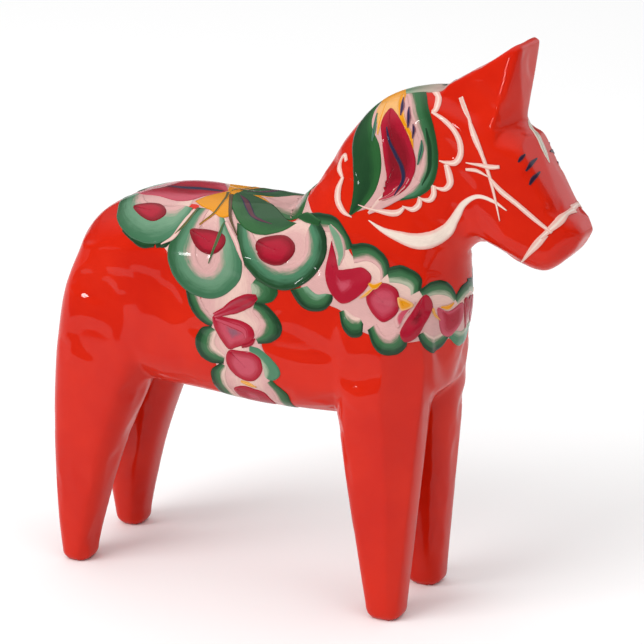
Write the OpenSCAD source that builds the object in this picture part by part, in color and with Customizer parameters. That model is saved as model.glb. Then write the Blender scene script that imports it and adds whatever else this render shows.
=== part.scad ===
// Carved and painted wooden toy horse. It faces +X and stands on z = 0, with its middle plane at y = 0.
// The wood is one carved block. Each group of brush strokes is a raised film of dried paint on it.

/* [Overall] */
// Height from the soles to the tips of the ears
height = 178; // [90:1:360]
// Length from the back of the hind legs to the muzzle
length = 170; // [85:1:340]
// Width across the barrel
width = 49; // [25:1:100]

/* [Carving] */
// How sharply the eight knife facets of a section meet
crispness = 12; // [6:1:24]
// Points round each section
section_points = 24; // [16:8:32]
// Thickness of the legs, as a share of the usual thickness
leg_stoutness = 1; // [0.8:0.05:1.25]
// Distance between the middles of the fore soles
fore_stance = 30; // [26:0.5:34]
// Distance between the middles of the hind soles
hind_stance = 34; // [28:0.5:38]
// Worn edge round each sole
sole_edge = 1.5; // [0.5:0.1:2.5]
// Width across the jaws
head_width = 23; // [19:0.5:27]
// Width across the tips of the ears
ear_width = 16; // [12:0.5:20]

/* [Paint] */
// Thickness of a film of paint
film = 0.3; // [0.2:0.05:0.6]
// Width of a plain white line
line_width = 1.7; // [1.2:0.1:2.4]
// Colour of the dipped ground coat
ground_colour = "#d02008"; // ["#d02008":Red, "#16223f":Blue, "#e8e4d8":White]

/* [Hidden] */

// The tables below are for a horse 170 long, 49 wide and 178 high. These three shares fit them to the sizes.
long = length / 170;
wide = width / 49;
tall = height / 178;
stroke_fn = 14;

// Barrel, from tail to chest: x, back z, belly z, half width
barrel = [
    [-79.3, 96, 72, 11], [-77.8, 104, 68, 15.5], [-73.8, 111.5, 65, 19.5], [-66.3, 117.3, 63, 22.5],
    [-52.3, 121.3, 62.5, 24.5], [-34, 122, 61.5, 24.2], [-12, 121.8, 60, 23.2], [8, 121, 60.5, 22.6],
    [26, 117.5, 62, 22], [36, 111, 66, 19], [42.7, 104, 72, 14],
];
// Neck, from withers to poll: crest x and z, throat x and z, half width, throat facet share
neck = [
    [-22, 118, 43.7, 73, 22, 0.74], [-7.3, 123.2, 47.3, 90, 20, 0.74], [2.2, 134.3, 48, 102, 16.5, 0.76],
    [9, 144.8, 47.7, 109.5, 13.8, 0.78], [17.5, 154.8, 49, 115, 12, 0.8], [26.7, 160.4, 53.5, 116.8, 11, 0.8],
];
// Head, from poll to muzzle: brow x and z, jaw x and z, half width as a share of half the jaws
head = [
    [39.7, 162.5, 57.2, 116.2, 0.92], [49.7, 159.2, 60.2, 115.2, 0.98], [59.7, 155.5, 63.5, 113.6, 1],
    [67.5, 151.2, 68, 112, 0.95], [71.7, 144, 70.1, 111.6, 0.89], [78.9, 131.5, 73.9, 112, 0.78],
    [83, 127.3, 78, 114.8, 0.66], [85, 124.3, 82, 118.6, 0.47],
];
// Legs, from shoulder or hip to the edge of the sole: z, rear x, front x, half width
fore_leg = [
    [95, 9.7, 40.7, 11], [83, 10.5, 41.7, 10.8], [71, 12.2, 41, 10.4], [61, 13.7, 40, 9.4],
    [44, 16.1, 38.5, 8.2], [24, 19.5, 36.7, 7], [7, 22.7, 35.2, 6], [1.8, 23.5, 34.9, 5.7],
];
hind_leg = [
    [107, -73.8, -46.3, 10.5], [91, -80.6, -43.8, 11.6], [75, -83.5, -46.8, 11.3], [65, -84.4, -52, 10.7],
    [49, -85, -59.3, 9.6], [32, -84.8, -65.8, 8.2], [16, -84.2, -70.3, 6.8], [6, -83.4, -72.6, 5.7],
    [1.8, -83, -73.1, 5.4],
];
// Distance of the leg roots from the middle plane
fore_root = 12;
hind_root = 11.5;
// Ear block, right half: x, z, and y as a share of half the tip width plus a share of half the jaws
ear_corners = [
    [41.7, 163.5, 0.8, 0], [62.9, 178, 1, 0], [64.9, 177.7, 0.94, 0], [63.9, 155, 0.25, 0],
    [56.1, 154, 0, 0.96], [46, 152, 0, 0.76], [55.5, 146, 0, 0.76],
];

// Radius of an eight-sided section at angle a from its first end. The halves are its half sizes,
// and c1 and c2 say how far out the diagonal facets lie beside its first and second ends.
function section_radius(a, half_v, half_u, c1, c2) =
    let (diagonal = (half_u + half_v) / sqrt(2),
         reach = [half_v, c1 * diagonal, half_u, c2 * diagonal, half_v, c2 * diagonal, half_u, c1 * diagonal],
         parts = [for (k = [0:7]) pow(max(0, cos(a - 45 * k) / reach[k]), crispness)])
    pow(parts * [for (k = [0:7]) 1], -1 / crispness);

// Ring of points round the line from end p1 to end p2, both [x, z], at distance y0 from the middle plane
function ring(p1, p2, y0, half_u, c1, c2, grow) =
    let (axis = (p1 - p2) / norm(p1 - p2), middle = (p1 + p2) / 2,
         hv = norm(p1 - p2) / 2 + grow, hu = half_u + grow)
    [for (i = [0:section_points - 1])
        let (t = 360 * i / section_points, a = atan2(hu * sin(t), hv * cos(t)),
             r = section_radius(a, hv, hu, c1, c2))
        [middle.x + r * cos(a) * axis.x, y0 + r * sin(a), middle.y + r * cos(a) * axis.y]];

// Solid through two rings after another, for rings that all lie square to one axis
module straight_loft(rings) {
    first = [for (i = [0:section_points - 1]) i];
    second = [for (i = [section_points - 1:-1:0]) section_points + i];
    for (k = [0:len(rings) - 2])
        hull() polyhedron(points = concat(rings[k], rings[k + 1]), faces = [first, second]);
}

// Solid through a row of rings that tilt from one to the next
module tilting_loft(rings) {
    n = section_points;
    last = (len(rings) - 1) * n;
    start = [for (i = [n - 1:-1:0]) i];
    end = [for (i = [0:n - 1]) last + i];
    sides = [for (k = [0:len(rings) - 2], i = [0:n - 1])
        let (a = k * n + i, b = k * n + (i + 1) % n)
        each [[a, b, a + n], [b, b + n, a + n]]];
    polyhedron(points = [for (r = rings) each r], faces = concat([start, end], sides));
}

function at(x, z) = [x * long, z * tall];

function barrel_rings(grow) =
    [for (s = barrel) ring(at(s[0], s[1]), at(s[0], s[2]), 0, s[3] * wide, 0.82, 0.84, grow)];

function neck_rings(grow) =
    [for (s = neck) ring(at(s[0], s[1]), at(s[2], s[3]), 0, s[4] * wide, 0.8, s[5], grow)];

function head_rings(grow) =
    [for (s = head) ring(at(s[0], s[1]), at(s[2], s[3]), 0, s[4] * head_width / 2, 0.87, 0.8, grow)];

// Rings of one leg, with a last ring drawn in to make the worn edge of the sole
function leg_rings(table, root, stance, side, grow) =
    let (last = table[len(table) - 1],
         sole = [0, last[1] + sole_edge, last[2] - sole_edge, last[3] - sole_edge * 0.8],
         top = table[0][0])
    [for (s = concat(table, [sole]))
        ring(at(s[2], s[0]), at(s[1], s[0]),
             side * (root * wide + (stance / 2 - root * wide) * (1 - s[0] / top)),
             s[3] * wide * leg_stoutness, 0.8, 0.84, grow)];

module ears() {
    corners = [for (c = ear_corners, side = [-1, 1])
        [c.x * long, side * (c[2] * ear_width + c[3] * head_width) / 2, c.y * tall]];
    hull() polyhedron(points = corners, faces = [[for (i = [0:len(corners) - 1]) i]]);
}

// The whole carved block, or the same block grown outwards to shape the paint
module carving(grow = 0) {
    straight_loft(barrel_rings(grow));
    tilting_loft(concat(neck_rings(grow), head_rings(grow)));
    for (side = [-1, 1]) {
        straight_loft(leg_rings(fore_leg, fore_root, fore_stance, side, grow));
        straight_loft(leg_rings(hind_leg, hind_root, hind_stance, side, grow));
    }
    ears();
}

// Film of paint where the outline, drawn in side view, falls between two distances from the middle plane
module side_film(from_y, to_y) {
    difference() {
        intersection() {
            carving(film);
            translate([0, to_y, 0]) rotate([90, 0, 0]) linear_extrude(to_y - from_y)
                scale([long, tall]) children();
        }
        carving();
    }
}

// The same film on one side of the horse: -1 is its right side and 1 is its left
module one_side(side, inner = 1) {
    if (side < 0) side_film(-width, -inner) children();
    else side_film(inner, width) children();
}

module both_sides() {
    side_film(-width, width) children();
}

// Round dabs, each [x, z, half length, half height]
module dabs(list) {
    for (d = list) translate([d[0], d[1]]) scale([1, d[3] / d[2]]) circle(d[2], $fn = 2 * stroke_fn);
}

// Brush stroke through points, each [x, z, width as a share of the plain line]
module stroke(points) {
    for (i = [0:len(points) - 2])
        hull() for (p = [points[i], points[i + 1]])
            translate([p.x, p.y]) circle(p.z * line_width / 2, $fn = stroke_fn);
}

module pine_body() {
    color(ground_colour) carving();
}

// Three petals that hang from the middle of the back
module saddle_outline() {
    dabs([[-50, 118.5, 13.5, 9], [-28.5, 109, 12.8, 13.5], [-3.2, 112.5, 12.8, 11]]);
    translate([-60, 113]) square([66, 12]);
}

module saddle_flower() {
    color("#2f7a58") both_sides() saddle_outline();
}

module girth_garland(side) {
    color("#4c8a6c") one_side(side, 10) difference() {
        dabs([
            [-22, 91, 9.5, 7], [-13.5, 99, 8, 6], [-12.5, 89, 8, 7], [-20.5, 81, 9, 7],
            [-12, 78, 8, 7], [-18, 70, 8.5, 7], [-9.5, 67, 8.5, 7],
        ]);
        saddle_outline();
    }
}

module girth_garland_right() {
    girth_garland(-1);
}

module girth_garland_left() {
    girth_garland(1);
}

// The garland runs from the saddle round the front of the chest
module breast_garland() {
    color("#4c8a6c") both_sides() difference() {
        union() {
            dabs([
                [17, 114.5, 6.5, 8], [26.5, 110, 7, 7.5], [35, 104.5, 7, 7.5], [14, 104, 7.5, 8],
                [22, 98, 8, 7.5], [30, 93.5, 7, 7.5], [38, 92, 6, 7], [42, 100, 6, 7.5],
            ]);
            translate([38, 86]) square([12, 20.5]);
        }
        saddle_outline();
    }
}

module mane_panel() {
    color("#2f7a58") both_sides()
        offset(r = 2.5, $fn = stroke_fn) offset(delta = -2.5)
            polygon([[20, 124], [28, 127.5], [36.5, 132.5], [40.5, 139], [41, 148], [38, 157],
                     [34, 168], [20, 168], [17, 155], [15.5, 145], [17, 134]]);
}

module mane_scallops(side) {
    color("#efe8dc") one_side(side) {
        stroke([[38, 162, 0.8], [41.5, 160.5, 1], [41.5, 157.5, 1], [45, 154, 1.1], [48.5, 151, 1.1],
                [50, 147, 1], [48, 142.5, 0.9], [44, 142, 0.8]]);
        stroke([[46, 141, 0.8], [47.5, 137.5, 1.1], [46, 134, 1.1], [42, 131.5, 0.9], [38, 128.5, 1],
                [33, 127.5, 0.9], [28, 124.8, 1], [22, 123.3, 0.8]]);
    }
}

module mane_scallops_right() {
    mane_scallops(-1);
}

module mane_scallops_left() {
    mane_scallops(1);
}

module mane_squiggle(side) {
    color("#efe8dc") one_side(side)
        stroke([[13.8, 141.5, 0.8], [12, 138.5, 1.2], [12.8, 136, 1], [14.5, 134, 1], [13, 131, 1.2],
                [13.2, 128, 1.2], [15.5, 125, 1], [18.5, 123.4, 0.6]]);
}

module mane_squiggle_right() {
    mane_squiggle(-1);
}

module mane_squiggle_left() {
    mane_squiggle(1);
}

module cheek_swoosh(side) {
    color("#efe8dc") one_side(side)
        stroke([[24, 121.4, 0.7], [28, 119.5, 2], [34, 118.6, 3.6], [40, 118.8, 3.4], [44.5, 121, 2.4],
                [47.5, 125, 1.4], [50, 129.5, 1], [54, 133, 1], [58, 133.5, 0.9], [63, 131, 0.5]]);
}

module cheek_swoosh_right() {
    cheek_swoosh(-1);
}

module cheek_swoosh_left() {
    cheek_swoosh(1);
}

module bridle(side) {
    color("#efe8dc") one_side(side) {
        stroke([[53.5, 151, 0.8], [56.5, 145.5, 1], [59.5, 136.5, 0.6]]);
        stroke([[58.5, 139.5, 1], [67, 132, 1.1], [73, 126.5, 0.8]]);
        stroke([[51, 143.3, 0.7], [61, 143, 0.6]]);
        stroke([[51.5, 141, 0.6], [60, 139.6, 0.6]]);
    }
}

module bridle_right() {
    bridle(-1);
}

module bridle_left() {
    bridle(1);
}

module nose_band() {
    color("#efe8dc") both_sides()
        stroke([[68, 116, 0.5], [72, 120.5, 1], [75.5, 124.5, 1.6], [78.5, 128.5, 1.3], [86, 133, 1.9]]);
}

// The blaze is drawn in front view, on the middle of the brow
module forehead_blaze() {
    color("#efe8dc") difference() {
        intersection() {
            carving(film);
            translate([60 * long, 0, 149 * tall]) rotate([90, 0, 90]) linear_extrude(30 * long)
                scale([1, 3]) circle(line_width, $fn = 2 * stroke_fn);
        }
        carving();
    }
}

module eye_strokes(side) {
    color("#2a2547") one_side(side, 4) {
        stroke([[69.8, 148.3, 0.6], [67.6, 144.8, 0.8]]);
        stroke([[71.6, 146, 0.6], [69.5, 142.2, 0.8]]);
        stroke([[73.2, 143, 0.6], [71, 138.3, 0.8]]);
    }
}

module eye_strokes_right() {
    eye_strokes(-1);
}

module eye_strokes_left() {
    eye_strokes(1);
}

pine_body();
saddle_flower();
girth_garland_right();
girth_garland_left();
breast_garland();
mane_panel();
mane_scallops_right();
mane_scallops_left();
mane_squiggle_right();
mane_squiggle_left();
cheek_swoosh_right();
cheek_swoosh_left();
bridle_right();
bridle_left();
nose_band();
forehead_blaze();
eye_strokes_right();
eye_strokes_left();
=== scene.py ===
import math
import bmesh
import bpy
import numpy as np
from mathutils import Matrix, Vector
from mathutils.bvhtree import BVHTree


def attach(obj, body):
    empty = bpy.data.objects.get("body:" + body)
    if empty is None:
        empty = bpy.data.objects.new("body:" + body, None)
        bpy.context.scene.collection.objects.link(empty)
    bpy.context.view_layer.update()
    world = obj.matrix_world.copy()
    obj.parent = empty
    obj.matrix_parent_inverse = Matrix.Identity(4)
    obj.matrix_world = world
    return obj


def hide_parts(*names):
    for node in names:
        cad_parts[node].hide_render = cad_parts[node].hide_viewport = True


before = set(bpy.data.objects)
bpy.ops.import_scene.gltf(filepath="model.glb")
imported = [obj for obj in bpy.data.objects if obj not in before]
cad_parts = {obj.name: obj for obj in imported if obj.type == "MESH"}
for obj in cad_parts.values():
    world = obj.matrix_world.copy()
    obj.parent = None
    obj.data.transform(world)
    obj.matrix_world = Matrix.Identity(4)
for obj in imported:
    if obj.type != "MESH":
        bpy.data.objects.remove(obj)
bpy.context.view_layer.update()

mm = 0.001


# Catmull-Rom curve through rows of numbers: each row is passed through, and between two rows the
# value follows the cubic whose slopes are half the step between their neighbours.
def smoothRows(rows, count):
    rows = np.asarray(rows, float)
    padded = np.vstack([2 * rows[0] - rows[1], rows, 2 * rows[-1] - rows[-2]])
    t = np.linspace(0, len(rows) - 1, count)
    k = np.minimum(t.astype(int), len(rows) - 2)
    f = (t - k)[:, None]
    a, b, c, d = (padded[k + i] for i in range(4))
    return 0.5 * (2 * b + (c - a) * f + (2 * a - 5 * b + 4 * c - d) * f**2 + (3 * b - a - 3 * c + d) * f**3)


def unit(vectors):
    return vectors / np.maximum(np.linalg.norm(vectors, axis=-1, keepdims=True), 1e-12)


# Quads of a grid of rows x columns, optionally joined round the columns
def gridFaces(rows, columns, wrap=False, first=0):
    c = np.arange(columns if wrap else columns - 1)
    r = np.arange(rows - 1)[:, None]
    a = r * columns + c
    b = r * columns + (c + 1) % columns
    return (np.stack([a, b, b + columns, a + columns], -1) + first).reshape(-1, 4)


def meshObject(name, points, faces, body="root"):
    mesh = bpy.data.meshes.new(name)
    mesh.from_pydata(points.tolist(), [], [tuple(f) for f in faces])
    mesh.validate()
    thing = bpy.data.objects.new(name, mesh)
    bpy.context.scene.collection.objects.link(thing)
    if body:
        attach(thing, body)
    return thing


carving = {
    "ringPoints": 72,
    "crispness": 13,
    "barrelRows": 60,
    "neckRows": 130,
    "legRows": 60,
    "barrelCorners": (0.82, 0.84),  # reach of the upper and lower diagonal facets
    "neckCorner": 0.8,
    "headCorners": (0.87, 0.8),
    "legCorners": (0.8, 0.84),
    "voxel": 0.8,  # mm
    "fillet": 1.6,  # mm, how far the hollows between leg and barrel are filled
    "knifeCuts": 420,
    "cutDepth": (0.05, 0.4),  # mm
    "cutLength": (9, 20),  # mm, half the length of a cut along the grain
    "cutWidth": (4, 9),
    "cutLimit": 0.6,  # mm, the deepest that a cut takes away
    "cutFade": 2.2,  # how steeply a cut's share grows from its end
    "cutFacing": 0.6,  # least cosine between a cut and the surface that it takes away
    "cutTilt": 0.035,
    "grainTurn": 0.2,
    "legTop": 62,  # mm, height of the legs' straight part, where the grain runs down the leg
    "legCut": 0.35,  # share of the depth that is left on the legs
    "soleRest": 0.35,  # mm, below which the legs are sanded flat
    "seed": 7,
    # larger flats on the right side, copied to the left: the outer front of the fore leg, which fades
    # out over the shoulder, and the forehead
    "flats": [
        {"through": (30.5, -22.4, 60), "facing": (0.5, -0.86, -0.02), "x": 15, "y": 2, "z": (-20, 96),
         "fade": 14},
        {"through": (70.7, 0, 146.4), "facing": (0.84, -0.19, 0.51), "x": 62, "y": -1, "z": (128, 154.5),
         "fade": 3},
    ],
    # x, back z, belly z, half width, all mm
    "barrel": [
        [-79.3, 96, 72, 11], [-77.8, 104, 68, 15.5], [-73.8, 111.5, 65, 19.5], [-66.3, 117.3, 63, 22.5],
        [-52.3, 121.3, 62.5, 24.5], [-34, 122, 61.5, 24.2], [-12, 121.8, 60, 23.2], [8, 121, 60.5, 22.6],
        [26, 117.5, 62, 22], [36, 111, 66, 19], [42.7, 104, 72, 14],
    ],
    # crest x and z, throat x and z, half width, throat facet share
    "neck": [
        [-22, 118, 43.7, 73, 22, 0.74], [-7.3, 123.2, 47.3, 90, 20, 0.74], [2.2, 134.3, 48, 102, 16.5, 0.76],
        [9, 144.8, 47.7, 109.5, 13.8, 0.78], [17.5, 154.8, 49, 115, 12, 0.8],
        [26.7, 160.4, 53.5, 116.8, 11, 0.8],
    ],
    # brow x and z, jaw x and z, half width
    "head": [
        [39.7, 162.5, 57.2, 116.2, 10.6], [49.7, 159.2, 60.2, 115.2, 11.3], [59.7, 155.5, 63.5, 113.6, 11.5],
        [67.5, 151.2, 68, 112, 10.9], [71.7, 144, 70.1, 111.6, 10.2], [78.9, 131.5, 73.9, 112, 9],
        [83, 127.3, 78, 114.8, 7.6], [85, 124.3, 82, 118.6, 5.4],
    ],
    # z, rear x, front x, half width
    "foreLeg": [
        [95, 9.7, 40.7, 11], [83, 10.5, 41.7, 10.8], [71, 12.2, 41, 10.4], [61, 13.7, 40, 9.4],
        [44, 16.1, 38.5, 8.2], [24, 19.5, 36.7, 7], [7, 22.7, 35.2, 6], [1.8, 23.5, 34.9, 5.7],
        [0, 25, 33.4, 4.5],
    ],
    "hindLeg": [
        [107, -73.8, -46.3, 10.5], [91, -80.6, -43.8, 11.6], [75, -83.5, -46.8, 11.3], [65, -84.4, -52, 10.7],
        [49, -85, -59.3, 9.6], [32, -84.8, -65.8, 8.2], [16, -84.2, -70.3, 6.8], [6, -83.4, -72.6, 5.7],
        [1.8, -83, -73.1, 5.4], [0, -81.5, -74.6, 4.2],
    ],
    "foreRoot": 12,  # distance of the leg's root, and of its sole, from the middle plane
    "foreSole": 15,
    "hindRoot": 11.5,
    "hindSole": 17,
    # x, y, z of one half of the ear block
    "ears": [
        [41.7, 6.5, 163.5], [63.8, 8, 177.8], [65.8, 7.5, 177.5], [64.3, 2, 155], [59.3, 10.7, 152.6],
        [46, 8.8, 152], [55.5, 8.8, 146],
    ],
}


# Section of the carving: an eight-sided figure whose corners are rounded by a power mean. Along
# each direction, one over the radius is the power mean of the eight facets' own values.
def sectionRings(high, low, aside, halfU, upper, lower):
    count = carving["ringPoints"]
    power = carving["crispness"]
    axis = unit(high - low)
    halfV = np.linalg.norm(high - low, axis=1)[:, None] / 2
    halfU = halfU[:, None]
    t = np.linspace(0, 2 * np.pi, count, endpoint=False)[None]
    a = np.arctan2(halfU * np.sin(t), halfV * np.cos(t))
    diagonal = (halfU + halfV) / np.sqrt(2)
    upper, lower = upper[:, None] * diagonal, lower[:, None] * diagonal
    reach = [halfV, upper, halfU, lower, halfV, lower, halfU, upper]
    total = sum(np.maximum(0, np.cos(a - k * np.pi / 4) / reach[k]) ** power for k in range(8))
    r = total ** (-1 / power)
    middle = (high + low) / 2
    x = middle[:, :1] + r * np.cos(a) * axis[:, :1]
    z = middle[:, 1:] + r * np.cos(a) * axis[:, 1:]
    return np.stack([x, aside[:, None] + r * np.sin(a), z], -1)


# Closed surface through rings: a joined grid with a middle point at each end
def loftMesh(rings):
    rows, columns = rings.shape[:2]
    points = np.vstack([rings.reshape(-1, 3), rings[0].mean(0), rings[-1].mean(0)])
    faces = gridFaces(rows, columns, True).tolist()
    i = np.arange(columns)
    j = (i + 1) % columns
    last = (rows - 1) * columns
    faces += np.stack([j, i, np.full(columns, rows * columns)], 1).tolist()
    faces += np.stack([last + i, last + j, np.full(columns, rows * columns + 1)], 1).tolist()
    return points, faces


# One loft for the barrel, one for the neck and head, and one for each leg, whose distance from the
# middle plane grows evenly from its root to its sole
def carvedLofts():
    flat = lambda rows, value: np.full(len(rows), float(value))
    barrel = smoothRows(carving["barrel"], carving["barrelRows"])
    upper, lower = carving["barrelCorners"]
    rings = [sectionRings(barrel[:, [0, 1]], barrel[:, [0, 2]], flat(barrel, 0), barrel[:, 3],
                          flat(barrel, upper), flat(barrel, lower))]
    neck = smoothRows([row[:5] + [carving["neckCorner"], row[5]] for row in carving["neck"]]
                      + [row + [*carving["headCorners"]] for row in carving["head"]], carving["neckRows"])
    rings.append(sectionRings(neck[:, [0, 1]], neck[:, [2, 3]], flat(neck, 0), *neck[:, 4:7].T))
    upper, lower = carving["legCorners"]
    for table, root, sole in (("foreLeg", "foreRoot", "foreSole"), ("hindLeg", "hindRoot", "hindSole")):
        rows = np.array(carving[table], float)
        leg = np.vstack([smoothRows(rows[:-1], carving["legRows"]), rows[-1:]])
        away = carving[root] + (carving[sole] - carving[root]) * (1 - leg[:, 0] / leg[0, 0])
        rings += [sectionRings(leg[:, [2, 0]], leg[:, [1, 0]], side * away, leg[:, 3], flat(leg, upper),
                               flat(leg, lower)) for side in (-1, 1)]
    return [loftMesh(ring) for ring in rings]


def earMesh():
    half = np.array(carving["ears"], float)
    corners = np.vstack([half, half * [1, -1, 1]])
    shape = bmesh.new()
    for corner in corners:
        shape.verts.new(corner)
    made = bmesh.ops.convex_hull(shape, input=shape.verts)
    loose = [v for v in made["geom_interior"] if isinstance(v, bmesh.types.BMVert)]
    bmesh.ops.delete(shape, geom=loose, context="VERTS")
    bmesh.ops.recalc_face_normals(shape, faces=shape.faces)
    shape.verts.index_update()
    points = np.array([v.co[:] for v in shape.verts])
    faces = [[v.index for v in f.verts] for f in shape.faces]
    shape.free()
    return points, faces


def joined(meshes):
    points, faces, first = [], [], 0
    for p, f in meshes:
        points.append(p)
        faces += [[i + first for i in face] for face in f]
        first += len(p)
    return np.vstack(points), faces


def finishedMesh(thing):
    graph = bpy.context.evaluated_depsgraph_get()
    mesh = bpy.data.meshes.new_from_object(thing.evaluated_get(graph))
    thing.modifiers.clear()
    old = thing.data
    thing.data = mesh
    bpy.data.meshes.remove(old)


def vertexArray(mesh, what="co"):
    values = np.empty(len(mesh.vertices) * 3)
    if what == "co":
        mesh.vertices.foreach_get("co", values)
    else:
        mesh.vertex_normals.foreach_get("vector", values)
    return values.reshape(-1, 3)


def remeshed(thing, voxel, smoothing):
    remesh = thing.modifiers.new("weld", "REMESH")
    remesh.mode = "VOXEL"
    remesh.voxel_size = voxel * mm
    remesh.adaptivity = 0
    smooth = thing.modifiers.new("ease", "SMOOTH")
    smooth.factor = 0.5
    smooth.iterations = smoothing
    finishedMesh(thing)


# Moves every point along its normal by the same distance
def offsetSurface(thing, distance):
    points = vertexArray(thing.data) + vertexArray(thing.data, "normal") * distance
    thing.data.vertices.foreach_set("co", points.ravel())
    thing.data.update()


# Smoothstep, three times the square less twice the cube
def eased(share):
    return share**2 * (3 - 2 * share)


# Brings points down to a plane: each moves along it by the plane's depth under the point, times share
def planed(points, through, flat, share, limit=np.inf):
    depth = np.clip((points - through) @ flat, 0, limit)
    return points - (depth * share)[:, None] * flat


# Flat knife cuts: each is a plane a little under the surface, longer along the grain than across
# it. Its share falls off from its middle to its ends. Most cuts are shallow, as chance is squared.
def knifeCuts(points, normals):
    chance = np.random.default_rng(carving["seed"])
    low, high = carving["cutDepth"]
    picks = chance.choice(len(points), carving["knifeCuts"], replace=False)
    depths = (low + (high - low) * chance.random(len(picks)) ** 2) * mm
    flats = unit(normals[picks] + chance.normal(0, carving["cutTilt"], (len(picks), 3)))
    starts = points[picks].copy()
    onLeg = starts[:, 2] < carving["legTop"] * mm
    depths = depths * np.where(onLeg, carving["legCut"], 1)
    grain = np.where(onLeg[:, None], [0.0, 0.05, 1.0], [1.0, 0.0, -0.1])
    grain = grain - (grain * flats).sum(1, keepdims=True) * flats
    grain = unit(grain + chance.normal(0, carving["grainTurn"], grain.shape))
    halfLengths = chance.uniform(*carving["cutLength"], len(picks)) * mm
    halfWidths = chance.uniform(*carving["cutWidth"], len(picks)) * mm
    for start, flat, along, depth, halfLength, halfWidth in zip(starts, flats, grain, depths, halfLengths,
                                                                halfWidths):
        offset = points - start
        a = offset @ along
        r = np.sqrt((a / halfLength) ** 2 + ((offset**2).sum(1) - a**2).clip(0) / halfWidth**2)
        share = eased(np.clip((1 - r) * carving["cutFade"], 0, 1)) * (normals @ flat > carving["cutFacing"])
        points = planed(points, start - depth * flat, flat, share, carving["cutLimit"] * mm)
    return points


# The larger flats, each within its own range of x, y and z, where it fades out up and down
def largeFlats(points):
    for plane in carving["flats"]:
        for side in (-1, 1):
            mirror = np.array([1, -side, 1])
            flat = unit(np.array(plane["facing"]) * mirror)
            x, y, z = (points / mm).T
            bottom, top = plane["z"]
            share = np.clip((top - z) / plane["fade"], 0, 1) * np.clip((z - bottom) / plane["fade"], 0, 1)
            share = eased(share) * (y * side > plane["y"]) * (x > plane["x"])
            points = planed(points, np.array(plane["through"]) * mirror * mm, flat, share)
    return points


print("carving the block")
points, faces = joined(carvedLofts() + [earMesh()])
horseBody = meshObject("horseBody", points * mm, faces)
remeshed(horseBody, carving["voxel"], 1)
offsetSurface(horseBody, carving["fillet"] * mm)
remeshed(horseBody, carving["voxel"], 1)
offsetSurface(horseBody, -carving["fillet"] * mm)
remeshed(horseBody, carving["voxel"], 2)
points = largeFlats(knifeCuts(vertexArray(horseBody.data), vertexArray(horseBody.data, "normal")))
points[:, 2] = np.where(points[:, 2] < carving["soleRest"] * mm, 0, points[:, 2])
horseBody.data.vertices.foreach_set("co", points.ravel())
horseBody.data.shade_smooth()
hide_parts("pine_body")
print("block:", len(horseBody.data.polygons), "faces")

paintShare = 0.84  # share of a paint's colour that is left for the light to add


class Socket:
    # Wraps an output so that sums and products are written as expressions
    def __init__(self, maker, output):
        self.maker, self.output = maker, output

    def math(self, operation, *others):
        return self.maker.node("ShaderNodeMath", {"operation": operation}, dict(enumerate((self,) + others)))

    def __add__(self, other):
        return self.math("ADD", other)

    __radd__ = __add__

    def __mul__(self, other):
        return self.math("MULTIPLY", other)

    __rmul__ = __mul__

    def __sub__(self, other):
        return self.math("SUBTRACT", other)

    def __rsub__(self, other):
        return self.maker.node("ShaderNodeMath", {"operation": "SUBTRACT"}, {0: other, 1: self})


# Makes the nodes of one material or of the world's air
class Maker:
    def __init__(self, owner):
        owner.use_nodes = True
        self.owner = owner
        self.nodes = owner.node_tree.nodes
        self.links = owner.node_tree.links
        self.nodes.clear()

    def node(self, kind, settings=None, inputs=None, out=0):
        made = self.nodes.new(kind)
        for key, value in (settings or {}).items():
            setattr(made, key, value)
        for key, value in (inputs or {}).items():
            if isinstance(value, Socket):
                self.links.new(value.output, made.inputs[key])
            else:
                made.inputs[key].default_value = value
        return Socket(self, made.outputs[out]) if made.outputs else None

    def place(self):
        return self.node("ShaderNodeTexCoord", out="Object")

    def mix(self, factor, a, b):
        # Colours mix on sockets 6 and 7 of the Mix node
        return self.node("ShaderNodeMix", {"data_type": "RGBA"}, {0: factor, 6: a, 7: b}, 2)

    def noise(self, vector, scale, detail=2.0, roughness=0.5):
        return self.node("ShaderNodeTexNoise", {}, {"Vector": vector, "Scale": scale, "Detail": detail,
                                                   "Roughness": roughness})

    def step(self, value, low, high, bottom=0.0, top=1.0, easing="SMOOTHSTEP"):
        return self.node("ShaderNodeMapRange", {"interpolation_type": easing},
                         {"Value": value, "From Min": low, "From Max": high, "To Min": bottom, "To Max": top})

    def bump(self, height, strength, distance):
        return self.node("ShaderNodeBump", {}, {"Strength": strength, "Distance": distance, "Height": height})

    def finish(self, inputs, shader="BsdfPrincipled", output="OutputMaterial"):
        made = self.node("ShaderNode" + shader, {}, inputs)
        self.node("ShaderNode" + output, {}, {"Surface": made})
        return self.owner


def newMaterial(name):
    return Maker(bpy.data.materials.new(name))


# Paint colour from the colour it shows under the studio's light, which is a little over one
def srgb(r, g, b):
    c = np.array([r, g, b]) / 255
    c = np.where(c <= 0.04045, c / 12.92, ((c + 0.055) / 1.055) ** 2.4) * paintShare
    return (*c, 1.0)


varnish = {"Specular IOR Level": 0.05, "Coat Weight": 0.5, "Coat IOR": 1.42}


# Lacquer over red paint: base colour drifts between two reds with a broad noise, and a fine noise
# is the brush and orange-peel relief under a clear coat.
def redLacquer():
    m = newMaterial("redLacquer")
    place = m.place()
    broad = m.noise(place, 45, 3)
    base = m.mix(m.step(broad, 0.3, 0.7), srgb(205, 28, 5), srgb(216, 36, 8))
    relief = m.noise(place, 260, 2) + m.noise(place, 1500, 1) * 0.12
    return m.finish({"Base Color": base, "Roughness": m.step(broad, 0.2, 0.8) * 0.1 + 0.36,
                     "Normal": m.bump(relief, 0.25, 0.0002), "Coat Roughness": 0.04, **varnish})


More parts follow.
